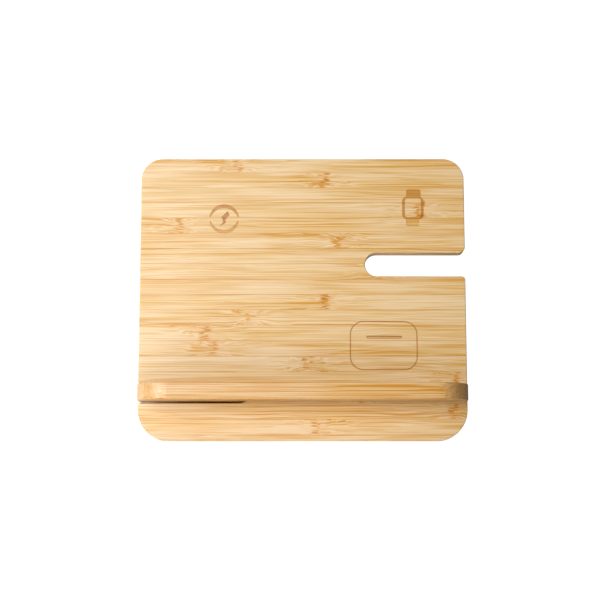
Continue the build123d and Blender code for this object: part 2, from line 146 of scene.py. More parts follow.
# Shader nodes
class Shader:
    """Short calls that add nodes to the tree of one material or world."""

    def __init__(self, owner):
        self.owner = owner
        owner.use_nodes = True
        self.tree = owner.node_tree
        self.tree.nodes.clear()

    def feed(self, socket, value):
        if isinstance(value, bpy.types.NodeSocket):
            self.tree.links.new(value, socket)
        else:
            socket.default_value = value

    def add(self, kind, inputs, **settings):
        node = self.tree.nodes.new(kind)
        for key, value in settings.items():
            setattr(node, key, value)
        for key, value in inputs.items():
            self.feed(node.inputs[key], value)
        return node

    def math(self, operation, *values):
        inputs = dict(enumerate(values))
        return self.add("ShaderNodeMath", inputs, operation=operation).outputs[0]

    def total(self, *values):
        result = values[0]
        for value in values[1:]:
            result = self.math("ADD", result, value)
        return result

    def times(self, *values):
        result = values[0]
        for value in values[1:]:
            result = self.math("MULTIPLY", result, value)
        return result

    def less(self, a, b):
        return self.math("SUBTRACT", a, b)

    def vector(self, x, y, z):
        inputs = {"X": x, "Y": y, "Z": z}
        return self.add("ShaderNodeCombineXYZ", inputs).outputs[0]

    def parts(self, value):
        """The three numbers in a vector or colour."""
        return self.add("ShaderNodeSeparateXYZ", {0: value}).outputs

    def vector_math(self, operation, a, b, output=0):
        node = self.add("ShaderNodeVectorMath", {0: a, 1: b}, operation=operation)
        return node.outputs[output]

    def dot(self, a, b):
        return self.vector_math("DOT_PRODUCT", a, b, "Value")

    def shifted(self, a, b):
        return self.vector_math("ADD", a, b)

    def stretched(self, a, b):
        return self.vector_math("MULTIPLY", a, b)

    def millimetres(self):
        """The object's own coordinates, in millimetres."""
        place = self.add("ShaderNodeTexCoord", {}).outputs["Object"]
        inputs = {0: place, "Scale": 1 / MM}
        return self.add("ShaderNodeVectorMath", inputs, operation="SCALE").outputs[0]

    def noise(self, place, detail=2.0, roughness=0.5, scale=1.0):
        inputs = {"Vector": place, "Scale": scale, "Detail": detail, "Roughness": roughness}
        return self.add("ShaderNodeTexNoise", inputs).outputs[0]

    def cells(self, place):
        """Cells one unit wide: the distance from a cell's middle, and its own three chances."""
        outputs = self.add("ShaderNodeTexVoronoi", {"Vector": place, "Scale": 1.0}).outputs
        return outputs["Distance"], self.parts(outputs["Color"])

    def step(self, value, low, high, start=0.0, end=1.0, shape="SMOOTHSTEP"):
        """Goes from start to end while value goes from low to high."""
        inputs = {"Value": value, "From Min": low, "From Max": high, "To Min": start, "To Max": end}
        return self.add("ShaderNodeMapRange", inputs, interpolation_type=shape).outputs[0]

    def bell(self, value, width):
        """1 where value is 0, and falls off on both sides over a width."""
        ratio = self.math("DIVIDE", value, width)
        return self.math("EXPONENT", self.times(ratio, ratio, -1.0))

    def mix(self, factor, a, b, blend="MIX"):
        """Blends two colours, whose sockets are numbers 6 and 7 of this node."""
        node = self.tree.nodes.new("ShaderNodeMix")
        node.data_type = "RGBA"
        node.blend_type = blend
        self.feed(node.inputs[0], factor)
        self.feed(node.inputs[6], a)
        self.feed(node.inputs[7], b)
        return node.outputs[2]

    def mix_shader(self, factor, a, b):
        return self.add("ShaderNodeMixShader", {0: factor, 1: a, 2: b}).outputs[0]

    def bump(self, height, strength, distance):
        inputs = {"Height": height, "Strength": strength, "Distance": distance}
        return self.add("ShaderNodeBump", inputs).outputs[0]

    def finish(self, **inputs):
        """Principled surface with the given inputs; returns the material."""
        named = {key.replace("_", " "): value for key, value in inputs.items()}
        surface = self.add("ShaderNodeBsdfPrincipled", named)
        self.add("ShaderNodeOutputMaterial", {"Surface": surface.outputs[0]})
        return self.owner


def srgb(red, green, blue):
    """Linear colour from 8-bit sRGB values."""
    levels = [value / 255 for value in (red, green, blue)]
    linear = [v / 12.92 if v <= 0.04045 else ((v + 0.055) / 1.055) ** 2.4 for v in levels]
    return (*linear, 1.0)


# Bamboo: a solid texture of strips glued side by side, with fibre bundles that run along X.
# Lengths are in millimetres.
STRIP_PITCH = 9.543
KNOT_SPAN = 400.0  # length along X that the red of the knot ramp stands for
CULM = (700.0, 90.0, 90.0)  # strips are cut from places up to this far apart
PALE = srgb(228, 204, 168)
CREAM = srgb(221, 190, 138)
HONEY = srgb(214, 174, 102)
FIBRE = srgb(200, 140, 24)
DUSKY = srgb(204, 161, 88)
KNOT = srgb(200, 134, 8)
SCAR = srgb(152, 92, 4)
GLUE = srgb(196, 130, 40)
END_PALE = srgb(231, 202, 158)
END_DOT = srgb(200, 144, 70)
# Painted shade: ends that face right, away from the light, are multiplied by this to look darker
# and browner
END_SHADE = (0.80, 0.74, 0.58, 1.0)  # times the colour of ends that face right

# Waves per millimetre along, across and through the board
SLOW_BEND = (0.012, 0.05, 0.05)
DRIFT = (0.05, 0.16, 0.16)
SWIRL = (0.2, 0.3, 0.3)
PATCHES = (0.014, 0.13, 0.13)
WIDE_LINES = (0.009, 0.95, 0.95)
THIN_LINES = (0.015, 2.1, 2.1)
FINE_GRAIN = (0.018, 1.6, 1.6)
BUNDLES = (0.013, 1.25, 1.25)
STROKES = (0.02, 0.85, 0.85)
END_DOTS = (0.05, 0.95, 0.95)
JOINT_FADE = (0.03, 0.0, 0.08)

# Round a knot: how far along X each effect reaches, and how far it shifts or bends
DRIFT_REACH, DRIFT_BEND = 24.0, 6.0
SWIRL_REACH, SWIRL_BEND = 7.0, 1.9
SPREAD_REACH, SPREAD_SHARE = 8.0, 0.7
APPROACH_REACH, APPROACH_SHIFT = 11.0, 26.0
HALO_REACH, HALO_SHIFT = 6.0, 6.0
SMEAR_REACH = 7.5
STROKE_REACH, STROKE_JAG, STROKE_SWIRL = 1.9, 4.5, -5.0
BEND_THROUGH = 0.6  # share of a bend that also goes through the board


def strip_knot(s, strip, knots):
    """Where along X a strip's knot is and how dark, from a stepped ramp over the strips."""
    ramp = s.add("ShaderNodeValToRGB", {})
    ramp.color_ramp.interpolation = "CONSTANT"
    stops = ramp.color_ramp.elements
    for index, (knot, dark) in enumerate(knots):
        if index:
            stop = stops.new(index / len(knots))
        else:
            stop = stops[0]
            stop.position = 0
        stop.color = (knot / KNOT_SPAN + 0.5, dark, 0.0, 1.0)
    stops.remove(stops[-1])  # the white one that a new ramp has at its end
    s.feed(ramp.inputs[0], s.math("DIVIDE", s.total(strip, 0.5), len(knots)))
    level, darkness, _ = s.parts(ramp.outputs[0])
    return s.times(s.less(level, 0.5), KNOT_SPAN), darkness


def bamboo(name, tint, origin, across_axis, through_axis, first_joint, knots, seed, extra, wave):
    """Bamboo of one board, times a tint.

    origin and the two axes place the board, and first_joint is where its first strip starts.
    knots holds, for each strip, the place along X of its knot and how dark it is. seed sets the
    strips' other chances, extra adds dark fibre, and wave is how far fibres bend over a long way.
    """
    s = Shader(bpy.data.materials.new(name))
    place = s.shifted(s.millimetres(), tuple(-origin))
    along = s.dot(place, tuple(RIGHT))
    across = s.dot(place, tuple(across_axis))
    through = s.dot(place, tuple(through_axis))
    strip_place = s.math("DIVIDE", s.less(across, first_joint), STRIP_PITCH)
    strip = s.math("FLOOR", strip_place)
    in_strip = s.math("FRACT", strip_place)
    dice = s.add("ShaderNodeTexWhiteNoise", {"W": s.total(strip, seed)}, noise_dimensions="1D")
    chances = s.parts(dice.outputs["Color"])
    knot_x, knot_darkness = strip_knot(s, strip, knots)
    past_knot = s.less(along, knot_x)

    # Each strip is cut from another place of the culm, and its fibres bend round its knot
    strip_shift = s.stretched(dice.outputs["Color"], CULM)
    grain = s.shifted(s.vector(along, across, through), strip_shift)
    slow = s.less(s.noise(s.stretched(grain, SLOW_BEND), 1.0), 0.5)
    swirl = s.less(s.noise(s.stretched(grain, SWIRL), 2.0), 0.5)
    drift = s.less(s.noise(s.stretched(grain, DRIFT), 1.0), 0.5)
    from_middle = s.times(s.less(in_strip, 0.5), STRIP_PITCH)
    bend = s.total(
        s.times(slow, wave),
        s.times(drift, s.bell(past_knot, DRIFT_REACH), DRIFT_BEND),
        s.times(swirl, s.bell(past_knot, SWIRL_REACH), SWIRL_BEND),
        s.times(from_middle, s.bell(past_knot, SPREAD_REACH), SPREAD_SHARE),
    )
    fibres = s.shifted(grain, s.vector(0.0, bend, s.times(bend, BEND_THROUGH)))

    # Fibre bundles, dense in patches, towards one side of each strip and up to its knot
    from_bundle, bundle_chances = s.cells(s.stretched(fibres, BUNDLES))
    bundles = s.times(s.step(from_bundle, 0.6, 0.25), s.step(bundle_chances[0], 0.1, 0.9))
    wide_lines = s.noise(s.stretched(fibres, WIDE_LINES), 0.0)
    thin_lines = s.noise(s.stretched(fibres, THIN_LINES), 1.0)
    lines = s.total(s.times(wide_lines, 0.42), s.times(thin_lines, 0.58))
    fine = s.noise(s.stretched(fibres, FINE_GRAIN), 2.0, 0.6)
    patch = s.noise(s.stretched(grain, PATCHES), 1.0)
    rind_side = s.math("ABSOLUTE", s.less(in_strip, s.math("ROUND", chances[1])))
    knot_side = s.less(s.math("ROUND", chances[2]), 0.5)
    approach = s.bell(s.total(past_knot, s.times(knot_side, APPROACH_SHIFT)), APPROACH_REACH)
    density = s.total(
        s.step(patch, 0.3, 0.68, 0.2, 0.9),
        s.times(s.less(rind_side, 0.5), 0.6),
        s.times(s.less(chances[0], 0.5), 0.4),
        s.times(approach, 0.5),
        extra,
    )
    density = s.math("MAXIMUM", density, 0.1)

    colour = s.mix(s.step(patch, 0.3, 0.7), PALE, CREAM)
    colour = s.mix(s.times(chances[2], 0.31), colour, HONEY)
    colour = s.mix(s.step(fine, 0.42, 0.7, 0.0, 0.7), colour, DUSKY)
    colour = s.mix(s.step(fine, 0.48, 0.3, 0.0, 0.6), colour, PALE)
    colour = s.mix(s.times(bundles, density, 0.5), colour, FIBRE)
    streaks = s.step(lines, 0.5, 0.58)
    colour = s.mix(s.times(streaks, density, 0.88), colour, FIBRE)

    # Knots: a pale halo, dark smears, then short strokes that differ from bundle to bundle
    halo = s.bell(s.less(past_knot, s.times(knot_side, HALO_SHIFT)), HALO_REACH)
    colour = s.mix(s.times(halo, 0.3), colour, PALE)
    smears = s.times(s.step(lines, 0.44, 0.58), s.bell(past_knot, SMEAR_REACH), knot_darkness)
    colour = s.mix(s.times(smears, 0.75), colour, KNOT)
    _, stroke_chances = s.cells(s.stretched(fibres, STROKES))
    jag = s.times(s.less(stroke_chances[0], 0.5), STROKE_JAG)
    past_stroke = s.total(past_knot, s.times(swirl, STROKE_SWIRL), jag)
    stroke = s.bell(past_stroke, STROKE_REACH)
    strokes = s.times(stroke, s.total(stroke_chances[2], 0.3), knot_darkness)
    colour = s.mix(s.step(strokes, 0.06, 0.6, 0.0, 0.9), colour, KNOT)
    colour = s.mix(s.step(strokes, 0.5, 1.2, 0.0, 0.6), colour, SCAR)

    # End grain, where the surface faces along X: dots in place of lines
    facing = s.add("ShaderNodeTexCoord", {}).outputs["Normal"]
    facing_right = s.dot(facing, tuple(RIGHT))
    end_on = s.step(s.math("ABSOLUTE", facing_right), 0.12, 0.4)
    from_dot, _ = s.cells(s.stretched(fibres, END_DOTS))
    dots = s.times(s.step(from_dot, 0.55, 0.2), s.step(lines, 0.35, 0.65, 0.4, 1.0))
    end_tone = s.total(s.times(chances[1], 0.6), s.times(patch, 0.4))
    end_plain = s.mix(s.step(end_tone, 0.1, 0.9, 0.0, 0.4), END_PALE, END_DOT)
    end_colour = s.mix(dots, end_plain, END_DOT)
    colour = s.mix(s.times(end_on, 0.85), colour, end_colour)
    # Painted shade: surfaces that face right, away from the light, are made darker and browner
    right_end_shade = s.step(facing_right, 0.1, 0.5)
    colour = s.mix(s.times(right_end_shade, 0.8), colour, END_SHADE, "MULTIPLY")

    # Glue lines between the strips, which come and go and are fainter on the ends
    from_joint = s.math("ABSOLUTE", s.less(in_strip, s.math("ROUND", in_strip)))
    fade = s.step(s.noise(s.stretched(grain, JOINT_FADE), 1.0), 0.35, 0.65, 0.2, 0.75)
    on_face = s.less(1.0, s.times(end_on, 0.4))
    joint = s.times(s.step(from_joint, 0.045, 0.015), fade, on_face)
    colour = s.mix(joint, colour, GLUE)
    colour = s.mix(1.0, colour, tint, "MULTIPLY")
    height = s.total(s.times(fine, -0.5), s.times(bundles, -0.5))
    return s.finish(
        Base_Color=colour,
        Roughness=s.step(fine, 0.3, 0.7, 0.27, 0.34),
        Specular_IOR_Level=0.46,
        Normal=s.bump(height, 0.25, 0.1 * MM),
    )


NO_KNOT = (190.0, 0.0)  # off the board
PANEL_KNOTS = (
    NO_KNOT, (8.7, 0.47), (91.7, 0.75), (34.8, 0.6), (93.8, 0.6), (2.7, 0.7), (-54.0, 0.65),
    (-59.6, 0.85), (-32.2, 0.4), (13.1, 1.0), NO_KNOT, (53.4, 0.35), NO_KNOT, (21.2, 0.75),
    (-75.7, 0.7), (72.0, 0.75), NO_KNOT, (13.3, 0.95), (-40.8, 0.6),
)
CROSS_KNOTS = (
    NO_KNOT, (-38.0, 0.8), (61.0, 0.7), (12.0, 0.9), (-82.0, 0.6), NO_KNOT, (44.0, 0.8),
    (-15.0, 0.7), (75.0, 0.8),
)
PANEL_TOP_JOINT = 166.17  # under the panel's uppermost strip
LEDGE_TRIM = 4.0  # what the ledge's first strip has lost at the front
PANEL_BOARD = {
    "origin": PANEL_FOOT,
    "across_axis": PANEL_UP,
    "through_axis": PANEL_OUT,
    "first_joint": PANEL_TOP_JOINT - (len(PANEL_KNOTS) - 1) * STRIP_PITCH,
    "knots": PANEL_KNOTS,
    "seed": 11.0,
    "extra": 0.0,
    "wave": 4.0,
}
CROSS_BOARD = {
    "origin": PANEL_FOOT + PANEL_UP * CROSS_LEVEL,
    "across_axis": -PANEL_OUT,
    "through_axis": PANEL_UP,
    "first_joint": -LEDGE_REACH - LEDGE_TRIM,
    "knots": CROSS_KNOTS,
    "seed": 88.0,
    "extra": 0.36,
    "wave": 1.0,
}
PLAIN = (1.0, 1.0, 1.0, 1.0)
DARKER = (0.90, 0.835, 0.785, 1.0)
TOASTED = (0.89, 0.76, 0.44, 1.0)
BROWNED = (0.79, 0.61, 0.28, 1.0)
BURNT = (0.72, 0.50, 0.16, 1.0)
SCORCHED = (0.60, 0.37, 0.10, 1.0)

panel_bamboo = bamboo("panel_bamboo", PLAIN, **PANEL_BOARD)
toasted_bamboo = bamboo("toasted_bamboo", TOASTED, **PANEL_BOARD)
browned_bamboo = bamboo("browned_bamboo", BROWNED, **PANEL_BOARD)
burnt_bamboo = bamboo("burnt_bamboo", BURNT, **PANEL_BOARD)
scorched_bamboo = bamboo("scorched_bamboo", SCORCHED, **PANEL_BOARD)
cross_bamboo = bamboo("cross_bamboo", DARKER, **CROSS_BOARD)


# Plainer surfaces
ROUGHNESS_SPREAD = 0.08
DRIFT_SCALE = 0.05  # waves per millimetre of the slow change of tone


def speckled(name, dark, light, grain_mm, bump_mm, roughness, metallic):
    """Two tones mixed by noise at a grain size, with a bump and roughness of the same grain."""
    s = Shader(bpy.data.materials.new(name))
    place = s.millimetres()
    grain = s.noise(place, 3.0, 0.6, 1 / grain_mm)
    drift = s.noise(place, 2.0, 0.5, DRIFT_SCALE)
    tone = s.step(s.total(s.times(grain, 0.6), s.times(drift, 0.4)), 0.35, 0.65)
    smooth, rough = roughness - ROUGHNESS_SPREAD, roughness + ROUGHNESS_SPREAD
    return s.finish(
        Base_Color=s.mix(tone, srgb(*dark), srgb(*light)),
        Roughness=s.step(grain, 0.3, 0.7, smooth, rough),
        Metallic=metallic,
        Normal=s.bump(grain, 1.0, bump_mm * MM),
    )


# Dark and light tone in sRGB, grain and bump in millimetres, roughness, metallic
RECIPES = {
    "cover_plastic": ((30, 30, 32), (40, 40, 42), 0.35, 0.03, 0.5, 0.0),
    "oxide_steel": ((52, 52, 54), (84, 83, 84), 0.6, 0.004, 0.34, 0.9),
    "zinc_steel": ((176, 174, 168), (206, 204, 198), 0.5, 0.004, 0.3, 1.0),
    "silicone": ((44, 44, 46), (60, 60, 62), 0.3, 0.02, 0.72, 0.0),
    "solder_mask": ((12, 74, 44), (22, 98, 60), 1.4, 0.01, 0.35, 0.0),
    "shell_steel": ((190, 190, 188), (222, 222, 220), 0.4, 0.003, 0.26, 1.0),
    "black_moulding": ((24, 24, 25), (38, 38, 39), 0.25, 0.008, 0.45, 0.0),
    "ceramic": ((158, 124, 88), (186, 152, 112), 0.3, 0.004, 0.5, 0.0),
    "ferrite": ((54, 54, 58), (76, 76, 80), 0.4, 0.01, 0.6, 0.0),
    "copper": ((176, 88, 44), (214, 122, 70), 0.22, 0.03, 0.3, 1.0),
    "nickel": ((186, 184, 178), (212, 210, 204), 1.0, 0.002, 0.18, 1.0),
    "foam": ((28, 28, 30), (52, 52, 54), 0.5, 0.15, 0.95, 0.0),
    "tin": ((190, 190, 186), (222, 222, 218), 0.3, 0.004, 0.3, 1.0),
    "gold": ((212, 168, 84), (236, 196, 116), 0.3, 0.002, 0.25, 1.0),
}
surfaces = {name: speckled(name, *recipe) for name, recipe in RECIPES.items()}
surfaces["cross_bamboo"] = cross_bamboo

NODE_SURFACES = {
    "cross_board": "cross_bamboo",
    "rear_cover": "cover_plastic",
    "cover_screws": "oxide_steel",
    "panel_feet": "silicone",
    "leg_feet": "silicone",
    "main_board": "solder_mask",
    "board_screws": "zinc_steel",
    "usb_c_shell": "shell_steel",
    "usb_c_tongue": "black_moulding",
    "controller_chip": "black_moulding",
    "driver_chips": "black_moulding",
    "resonance_capacitors": "ceramic",
    "power_inductors": "ferrite",
    "phone_coil": "copper",
    "watch_coil": "copper",
    "earbud_coil": "copper",
    "phone_ferrite": "ferrite",
    "watch_ferrite": "ferrite",
    "earbud_ferrite": "ferrite",
    "watch_magnet": "nickel",
    "phone_coil_leads": "copper",
    "watch_coil_leads": "copper",
    "earbud_coil_leads": "copper",
    "coil_foam_pads": "foam",
}
for node, surface in NODE_SURFACES.items():
    nodes[node].data.materials.clear()
    nodes[node].data.materials.append(surfaces[surface])


# Panel with its marks cut in and burnt
CUTTER_TOP = 1.0  # over the panel's front
MARK_DEPTH = 0.3
CRESCENT_TIP = 0.8  # width of a crescent's blunt tips
TUBE_WALLS = ((0, 1), (3, 2), (2, 0), (1, 3))  # outer top, outer bottom, inner top, inner bottom
WELD_DISTANCE = 1e-6
SAME_PLANE = radians(0.2)
FRONT_FACE = radians(0.5)  # faces this near the front's own direction are shaded flat
PANEL_EDGE = radians(35)  # steeper edges stay sharp


def arc(centre, radius, start, end, steps=24):
    """Points on a circle, from a start to an end angle in degrees."""
    angles = [radians(start + (end - start) * i / steps) for i in range(steps + 1)]
    return [(centre[0] + radius * cos(a), centre[1] + radius * sin(a)) for a in angles]


def rounded(centre, width, height, radius):
    """Corner points of a rounded rectangle, anticlockwise."""
    half_x, half_y = width / 2 - radius, height / 2 - radius
    points = []
    for turn, (side, rise) in enumerate(((1, 1), (-1, 1), (-1, -1), (1, -1))):
        corner = (centre[0] + side * half_x, centre[1] + rise * half_y)
        points += arc(corner, radius, 90 * turn, 90 * turn + 90, 8)
    return points


def crescent(centre, radius, tip, thick, side):
    """Outline of a crescent over (side 1) or under (side -1) a centre.

    It has a radius outside, is thick in the middle, and ends in blunt tips at an angle.
    """
    inside = radius - thick
    tip_rise = radius * sin(radians(tip))
    tip_reach = radius * cos(radians(tip)) - CRESCENT_TIP
    pull = (inside**2 - tip_reach**2 - tip_rise**2) / (2 * (inside - tip_rise))
    inner_radius = inside - pull
    inner_tip = degrees(asin((tip_rise - pull) / inner_radius))
    outer = arc((0, 0), radius, tip, 180 - tip)
    inner = arc((0, pull), inner_radius, 180 - inner_tip, inner_tip)
    return [(centre[0] + x, centre[1] + side * y) for x, y in outer + inner]


def near(centre, x, up):
    """Point moved along and up the panel."""
    return (centre[0] + x, centre[1] + up)


def cutter(outline, wood, inner=None):
    """Prism over an outline on the panel's front, or over the band between two outlines.

    The boolean leaves its wood on what it cuts.
    """
    outlines = [outline, inner] if inner else [outline]
    rings = [
        [on_panel(x, up, out) for x, up in loop]
        for loop in outlines
        for out in (CUTTER_TOP, -MARK_DEPTH)
    ]
    mesh = skin("cutter", rings, TUBE_WALLS if inner else None)
    mesh.materials.append(wood)
    added("cutter", mesh, cutters)


cutters = bpy.data.collections.new("cutters")
scene.collection.children.link(cutters)

# Charging mark: two crescents round a bolt
RING = (-48.4, 136.9)
BOLT = (
    (2.2, 5.0), (-1.9, 1.1), (-1.1, 0.0), (-0.5, -2.1), (-3.2, -4.9), (1.15, -2.2), (0.5, -0.5),
    (1.3, 0.2), (3.2, 2.6),
)
cutter(crescent(RING, 9.25, 7.5, 2.45, 1), burnt_bamboo)
cutter(crescent(RING, 9.2, 7.0, 2.4, -1), browned_bamboo)
cutter([near(RING, x, up) for x, up in BOLT], scorched_bamboo)

# Watch mark: an outline, two strap ends and a crown
WATCH = (68.3, 143.9)
cutter(rounded(WATCH, 13.3, 14.6, 3.3), burnt_bamboo, rounded(WATCH, 9.8, 12.1, 1.5))
cutter(rounded(near(WATCH, 0.4, 9.1), 9.0, 5.4, 1.3), burnt_bamboo)
cutter(rounded(near(WATCH, -0.2, -9.1), 8.2, 4.7, 1.1), toasted_bamboo)
cutter(rounded(near(WATCH, 6.8, 2.9), 1.0, 3.6, 0.4), burnt_bamboo)

# Earbud case mark: an outline with a slit, which is a narrow outline of its own
CASE = (49.5, 58.2)
SLIT = (49.8, 63.4)
cutter(rounded(CASE, 41.4, 30.3, 8.2), burnt_bamboo, rounded(CASE, 39.9, 28.8, 7.5))
slit_inner = rounded(near(SLIT, 0, -0.15), 20.8, 0.4, 0.19)
cutter(rounded(SLIT, 21.8, 1.75, 0.85), scorched_bamboo, slit_inner)

panel = added("bamboo_panel", nodes["main_panel"].data.copy())
panel.data.materials.clear()
for wood in (panel_bamboo, toasted_bamboo, browned_bamboo, burnt_bamboo, scorched_bamboo):
    panel.data.materials.append(wood)
weld = panel.modifiers.new("weld", "WELD")
weld.merge_threshold = WELD_DISTANCE
cut_away(panel, operand_type="COLLECTION", collection=cutters, material_mode="TRANSFER")
for piece in list(cutters.objects):
    bpy.data.objects.remove(piece)
bpy.data.collections.remove(cutters)

# The boolean leaves old normals, and splits faces that lie in one plane
if "custom_normal" in panel.data.attributes:
    panel.data.attributes.remove(panel.data.attributes["custom_normal"])
bm = bmesh.new()
bm.from_mesh(panel.data)
bmesh.ops.dissolve_limit(
    bm, angle_limit=SAME_PLANE, verts=bm.verts, edges=bm.edges, delimit={"MATERIAL"}
)
bm.to_mesh(panel.data)
bm.free()
smooth = [face.normal.angle(PANEL_OUT) > FRONT_FACE for face in panel.data.polygons]
panel.data.polygons.foreach_set("use_smooth", smooth)
panel.data.set_sharp_from_angle(angle=PANEL_EDGE)
weighted = panel.modifiers.new("weighted", "WEIGHTED_NORMAL")
weighted.keep_sharp = True
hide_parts("main_panel")
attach(panel, "panel")


# Screws
SCREW_SIDES = 28
ROWS_PER_TURN = 8
THREAD_ROOT = 0.74  # of the radius at the thread's crest
TIP_WIDTH = 0.15  # of the shank's
TIP_TAPER = 1.6  # the tip widens over this many radii
RECESS_TOP = 0.05  # over the head
RECESS_BOTTOM = 0.45  # width at the bottom, of the width at the top
SCREW_EDGE = radians(40)  # steeper edges stay sharp


def screw_mesh(name, head, shank, length, pitch, recess, material):
    """Screw that points down from z = 0, in millimetres.

    head is a profile of (radius, z) from the top down. The thread starts where it ends, has the
    radius shank at its crest and comes to a point. recess is the cross recess's arm, half the
    arm's width, and depth.
    """
    start = head[-1][1]
    rows = round((start + length) / pitch * ROWS_PER_TURN)
    profile = [(radius, radius, z) for radius, z in head]
    for row in range(1, rows + 1):
        z = start - (start + length) * row / rows
        narrowing = min(1.0, TIP_WIDTH + (z + length) / (TIP_TAPER * shank))
        profile.append((THREAD_ROOT * shank * narrowing, shank * narrowing, z))
    rings = []
    for root, crest, z in profile:
        ring = []
        for i in range(SCREW_SIDES):
            turn = i / SCREW_SIDES
            phase = (z / pitch + turn) % 1.0
            tooth = max(0.0, 1.0 - abs(phase - 0.5) * 4)  # over half of the pitch
            radius = root + (crest - root) * tooth
            angle = turn * 2 * pi
            ring.append(Vector((radius * cos(angle), radius * sin(angle), z)) * MM)
        rings.append(ring)
    whole = added("screw", skin(name, rings))

    # Cross recess, narrower towards its bottom
    arm, half, depth = recess
    corner = [(arm, half), (half, half), (half, arm), (-half, arm), (-half, half), (-arm, half)]
    plus = corner + [(-x, -y) for x, y in corner]
    top = head[0][1]
    levels = ((1.0, top + RECESS_TOP), (RECESS_BOTTOM, top - depth))
    rings = [[Vector((k * x, k * y, z)) * MM for x, y in plus] for k, z in levels]
    cross = added("recess", skin("recess", rings))
    cut_away(whole, object=cross)

    mesh = whole.data
    mesh.name = name
    mesh.polygons.foreach_set("use_smooth", [True] * len(mesh.polygons))
    mesh.set_sharp_from_angle(angle=SCREW_EDGE)
    mesh.materials.clear()
    mesh.materials.append(material)
    bpy.data.objects.remove(cross)
    bpy.data.objects.remove(whole)
    return mesh


def drive_in(mesh, node, places, depth):
    """A screw at each place on the back, its z = 0 at a depth behind the panel's front face."""
    away = -PANEL_OUT
    turned = Matrix((RIGHT, away.cross(RIGHT), away)).transposed().to_4x4()
    for index, (x, up) in enumerate(places):
        piece = added(f"{node}_{index + 1}", mesh)
        spin = Matrix.Rotation(chance.uniform(0, pi), 4, "Z")
        piece.matrix_world = Matrix.Translation(on_panel(x, up, -depth)) @ turned @ spin
        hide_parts(node)
        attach(piece, "panel")


chance = random.Random(5)  # how far round each screw was left

# Heads, as (radius, z) from the top down
COUNTERSUNK = ((1.1, 0.0), (2.25, 0.0), (2.38, -0.06), (2.34, -0.14), (1.3, -1.14), (1.15, -1.4))
PAN = (
    (0.7, 1.0), (1.1, 0.97), (1.5, 0.84), (1.74, 0.55), (1.8, 0.2), (1.8, 0.0), (0.9, 0.0),
    (0.9, -1.2),
)

# Three screws along each long edge of the cover, two by the band slot and one across from it
COVER_LEFT, COVER_RIGHT = -89.5, 89.5
COVER_LOW, COVER_HIGH = 43.5, 164.5
PAST_BAND_SLOT = 16.8  # above and below the middle of the band slot
cover_places = [(x, up) for x in (COVER_LEFT, 0, COVER_RIGHT) for up in (COVER_LOW, COVER_HIGH)]
cover_places += [(COVER_RIGHT, BAND_SLOT_UP + side * PAST_BAND_SLOT) for side in (-1, 1)]
cover_places += [(COVER_LEFT, BAND_SLOT_UP)]
cover_screw = screw_mesh(
    "cover_screw",
    COUNTERSUNK,
    shank=1.2,
    length=6.5,
    pitch=1.05,
    recess=(1.35, 0.26, 0.95),
    material=surfaces["oxide_steel"],
)
drive_in(cover_screw, "cover_screws", cover_places, COVER_BACK)

# One screw near each corner of the circuit board
FROM_BOARD_X, FROM_BOARD_UP = 23.0, 10.0
board_places = [
    (BOARD_X + side * FROM_BOARD_X, BOARD_UP + rise * FROM_BOARD_UP)
    for side in (-1, 1)
    for rise in (-1, 1)
]
board_screw = screw_mesh(
    "board_screw",
    PAN,
    shank=0.95,
    length=3.4,
    pitch=0.8,
    recess=(0.95, 0.2, 0.6),
    material=surfaces["zinc_steel"],
)
drive_in(board_screw, "board_screws", board_places, BOARD_BACK)


# Small parts made of blocks; each block is a centre (x, up, out), a size, an edge bevel and the
# index of its material
BEVEL_PROFILE = 0.6


def sides(centre, reach, size, bevel, index):
    """Two like blocks, one at a reach (x, up, out) to either side of a centre."""
    return [
        (tuple(c + side * r for c, r in zip(centre, reach)), size, bevel, index)
        for side in (-1, 1)
    ]


def blocks(name, node, items, materials):
    """One piece from blocks, in place of a node or besides the nodes."""
    bm = bmesh.new()
    turned = Matrix((RIGHT, PANEL_UP, PANEL_OUT)).transposed().to_4x4()
    for centre, size, bevel, index in items:
        scaled = Matrix.Scale(MM, 4) @ Matrix.Diagonal((*size, 1.0))
        placed = Matrix.Translation(on_panel(*centre)) @ turned @ scaled
        made = bmesh.ops.create_cube(bm, size=1.0, matrix=placed)
        faces = {face for vert in made["verts"] for face in vert.link_faces}
        edges = {edge for vert in made["verts"] for edge in vert.link_edges}
        for face in faces:
            face.material_index = index
        bmesh.ops.bevel(
            bm,
            geom=list(edges),
            offset=bevel * MM,
            segments=2,
            affect="EDGES",
            profile=BEVEL_PROFILE,
        )
    mesh = mesh_from(name, bm)
    for material in materials:
        mesh.materials.append(surfaces[material])
    piece = added(name, mesh)
    if node:
        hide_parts(node)
    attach(piece, "panel")


ROW_PITCH = 8.06
rows = [BOARD_UP + row * ROW_PITCH for row in (-1, 0, 1)]  # one for each coil

# Controller: a flat package with eight pads along each side
CONTROLLER_X = -70.66
PAD_REACH = 3.25
PAD_PITCH = 0.75
PAD_LEVEL = -BOARD_BACK - 0.1
items = [((CONTROLLER_X, BOARD_UP, -BOARD_BACK - 0.47), (6.5, 6.5, 0.84), 0.08, 0)]
for i in range(8):
    shift = (i - 3.5) * PAD_PITCH
    beside = (CONTROLLER_X, BOARD_UP + shift, PAD_LEVEL)
    items += sides(beside, (PAD_REACH, 0, 0), (0.5, 0.36, 0.2), 0.03, 1)
    above = (CONTROLLER_X + shift, BOARD_UP, PAD_LEVEL)
    items += sides(above, (0, PAD_REACH, 0), (0.36, 0.5, 0.2), 0.03, 1)
blocks("controller_package", "controller_chip", items, ("black_moulding", "tin"))

